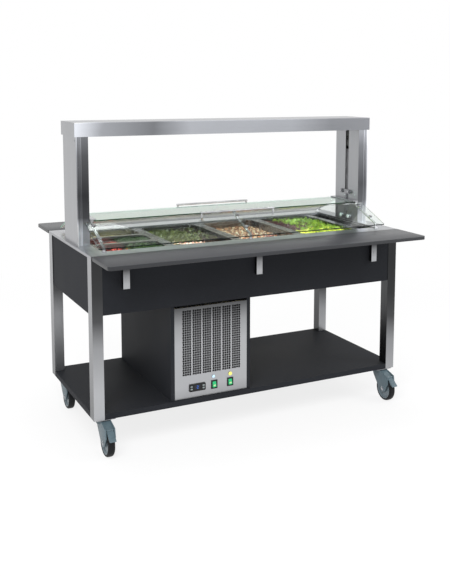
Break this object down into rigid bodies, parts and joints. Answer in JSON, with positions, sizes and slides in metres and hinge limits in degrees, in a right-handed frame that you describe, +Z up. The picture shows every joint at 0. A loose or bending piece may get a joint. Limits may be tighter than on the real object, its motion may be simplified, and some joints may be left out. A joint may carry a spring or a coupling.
{
  "type": "mobile salad bar",
  "caption": "Chilled self-service counter on castors with a sunk pan well, counterbalanced lifting glass hood, folding tray slides and a cooling unit on its shelf.",
  "frame": {"origin": "on the floor under the middle of the cart", "axes": "+X along the length to the right seen from the front, +Y from the customer front to the back, +Z up"},
  "size_m": [1.6, 1.2, 1.45],
  "materials": {
    "stainless": "fine brushed stainless sheet",
    "laminate": "board faced with matt anthracite laminate",
    "glass": "clear toughened glass, greenish edges",
    "polished": "polished stainless bar",
    "foam": "rigid foam insulation board",
    "copper": "drawn copper tube",
    "housing": "grey-blue moulded castor housing",
    "tyre": "black rubber tyre and grey disc",
    "zinc": "zinc-plated steel",
    "black_plastic": "black moulded plastic",
    "green_lens": "translucent green rocker",
    "grey_key": "grey push key",
    "iron": "black cast weight",
    "black_paint": "black painted steel",
    "fins": "thin aluminium fins",
    "diffuser": "white diffusing acrylic",
    "wire": "steel wire rope",
    "red_lever": "red lever"
  },
  "bodies": {
    "cart": {"castor_plates": "zinc", "compressor": "black_paint", "condenser_coil": "fins", "controller": "black_plastic", "corner_legs": "stainless", "counter_top": "stainless", "divider_bars": "stainless", "drain_valve": "zinc", "electrical_box": "black_plastic", "end_skirts": "laminate", "evaporator_coil": "copper", "fan_frame": "black_paint", "gantry_beam": "stainless", "grille_panel": "stainless", "hood_cables": "wire", "lamp_diffuser": "diffuser", "long_skirts": "laminate", "lower_shelf": "laminate", "pans_full": "stainless", "pans_third": "stainless", "posts": "stainless", "refrigerant_lines": "copper", "switch_bezels": "black_plastic", "tank_insulation": "foam", "tray_brackets": "stainless", "unit_base": "zinc", "unit_rear_panel": "stainless", "unit_side_panels": "laminate", "weight_cables": "wire", "well_tank": "stainless"},
    "hood": {"top_glass": "glass", "front_glass": "glass", "rear_glass": "glass", "hood_struts": "polished", "hood_carriages": "stainless", "bow_handles": "polished"},
    "weights": {"counterweights": "iron"},
    "pulleys": {"cable_pulleys": "grey_key"},
    "front_tray": {"front_tray_board": "laminate", "front_tray_arms": "zinc"},
    "rear_tray": {"rear_tray_board": "laminate", "rear_tray_arms": "zinc"},
    "fan": {"fan_blade": "black_plastic"},
    "drain_handle": {"drain_lever": "red_lever"},
    "cooling_switch": {"cooling_rocker": "green_lens"},
    "lamp_switch": {"lamp_rocker": "green_lens"},
    "button_1": {"controller_button_1": "grey_key"},
    "button_2": {"controller_button_2": "grey_key"},
    "button_3": {"controller_button_3": "grey_key"},
    "button_4": {"controller_button_4": "grey_key"},
    "swivel_fl": {"castor_fork_fl": "housing"},
    "wheel_fl": {"castor_wheel_fl": "tyre"},
    "swivel_fr": {"castor_fork_fr": "housing"},
    "wheel_fr": {"castor_wheel_fr": "tyre"},
    "swivel_rl": {"castor_fork_rl": "housing"},
    "wheel_rl": {"castor_wheel_rl": "tyre"},
    "swivel_rr": {"castor_fork_rr": "housing"},
    "wheel_rr": {"castor_wheel_rr": "tyre"},
    "brake_fl": {"brake_pedal_fl": "housing"},
    "brake_fr": {"brake_pedal_fr": "housing"}
  },
  "joints": [
    {"name": "hood_lift", "type": "slide", "parent": "cart", "child": "hood", "axis": [0, 0, 1], "range_m": [0, 0.27], "deforming": ["hood_cables"]},
    {"name": "weight_travel", "type": "slide", "parent": "cart", "child": "weights", "axis": [0, 0, 1], "range_m": [-0.271, 0], "deforming": ["weight_cables"]},
    {"name": "pulley_turn", "type": "hinge", "parent": "cart", "child": "pulleys", "pos_m": [0, 0.0375, 1.335], "axis": [1, 0, 0], "range_deg": [-415, 0]},
    {"name": "front_tray_fold", "type": "hinge", "parent": "cart", "child": "front_tray", "pos_m": [0, -0.374, 0.866], "axis": [1, 0, 0], "range_deg": [0, 90]},
    {"name": "rear_tray_fold", "type": "hinge", "parent": "cart", "child": "rear_tray", "pos_m": [0, 0.374, 0.866], "axis": [1, 0, 0], "range_deg": [-90, 0]},
    {"name": "fan_spin", "type": "hinge", "parent": "cart", "child": "fan", "pos_m": [-0.235, -0.2, 0.448], "axis": [0, 1, 0], "continuous": true},
    {"name": "drain_turn", "type": "hinge", "parent": "cart", "child": "drain_handle", "pos_m": [-0.12, 0.3, 0.59], "axis": [0, 0, 1], "range_deg": [0, 90]},
    {"name": "cooling_press", "type": "hinge", "parent": "cart", "child": "cooling_switch", "pos_m": [-0.221, -0.345, 0.233], "axis": [1, 0, 0], "range_deg": [0, 12]},
    {"name": "lamp_press", "type": "hinge", "parent": "cart", "child": "lamp_switch", "pos_m": [-0.139, -0.345, 0.233], "axis": [1, 0, 0], "range_deg": [0, 12]},
    {"name": "button_1_press", "type": "slide", "parent": "cart", "child": "button_1", "axis": [0, 1, 0], "range_m": [0, 0.0015], "stiffness_N_per_m": 400},
    {"name": "button_2_press", "type": "slide", "parent": "cart", "child": "button_2", "axis": [0, 1, 0], "range_m": [0, 0.0015], "stiffness_N_per_m": 400},
    {"name": "button_3_press", "type": "slide", "parent": "cart", "child": "button_3", "axis": [0, 1, 0], "range_m": [0, 0.0015], "stiffness_N_per_m": 400},
    {"name": "button_4_press", "type": "slide", "parent": "cart", "child": "button_4", "axis": [0, 1, 0], "range_m": [0, 0.0015], "stiffness_N_per_m": 400},
    {"name": "castor_fl_swivel", "type": "hinge", "parent": "cart", "child": "swivel_fl", "pos_m": [-0.745, -0.316, 0.15], "axis": [0, 0, 1], "continuous": true},
    {"name": "castor_fl_roll", "type": "hinge", "parent": "swivel_fl", "child": "wheel_fl", "pos_m": [-0.745, -0.374, 0.0625], "axis": [1, 0, 0], "continuous": true},
    {"name": "castor_fr_swivel", "type": "hinge", "parent": "cart", "child": "swivel_fr", "pos_m": [0.745, -0.316, 0.15], "axis": [0, 0, 1], "continuous": true},
    {"name": "castor_fr_roll", "type": "hinge", "parent": "swivel_fr", "child": "wheel_fr", "pos_m": [0.745, -0.374, 0.0625], "axis": [1, 0, 0], "continuous": true},
    {"name": "castor_rl_swivel", "type": "hinge", "parent": "cart", "child": "swivel_rl", "pos_m": [-0.745, 0.316, 0.15], "axis": [0, 0, 1], "continuous": true},
    {"name": "castor_rl_roll", "type": "hinge", "parent": "swivel_rl", "child": "wheel_rl", "pos_m": [-0.745, 0.258, 0.0625], "axis": [1, 0, 0], "continuous": true},
    {"name": "castor_rr_swivel", "type": "hinge", "parent": "cart", "child": "swivel_rr", "pos_m": [0.745, 0.316, 0.15], "axis": [0, 0, 1], "continuous": true},
    {"name": "castor_rr_roll", "type": "hinge", "parent": "swivel_rr", "child": "wheel_rr", "pos_m": [0.745, 0.258, 0.0625], "axis": [1, 0, 0], "continuous": true},
    {"name": "brake_fl_press", "type": "hinge", "parent": "swivel_fl", "child": "brake_fl", "pos_m": [-0.745, -0.406, 0.1285], "axis": [1, 0, 0], "range_deg": [0, 6]},
    {"name": "brake_fr_press", "type": "hinge", "parent": "swivel_fr", "child": "brake_fr", "pos_m": [0.745, -0.406, 0.1285], "axis": [1, 0, 0], "range_deg": [0, 6]}
  ],
  "couplings": [
    {"joint": "weight_travel", "follows": "hood_lift", "ratio": -1},
    {"joint": "pulley_turn", "follows": "hood_lift", "rad_per_m": -26.667}
  ]
}
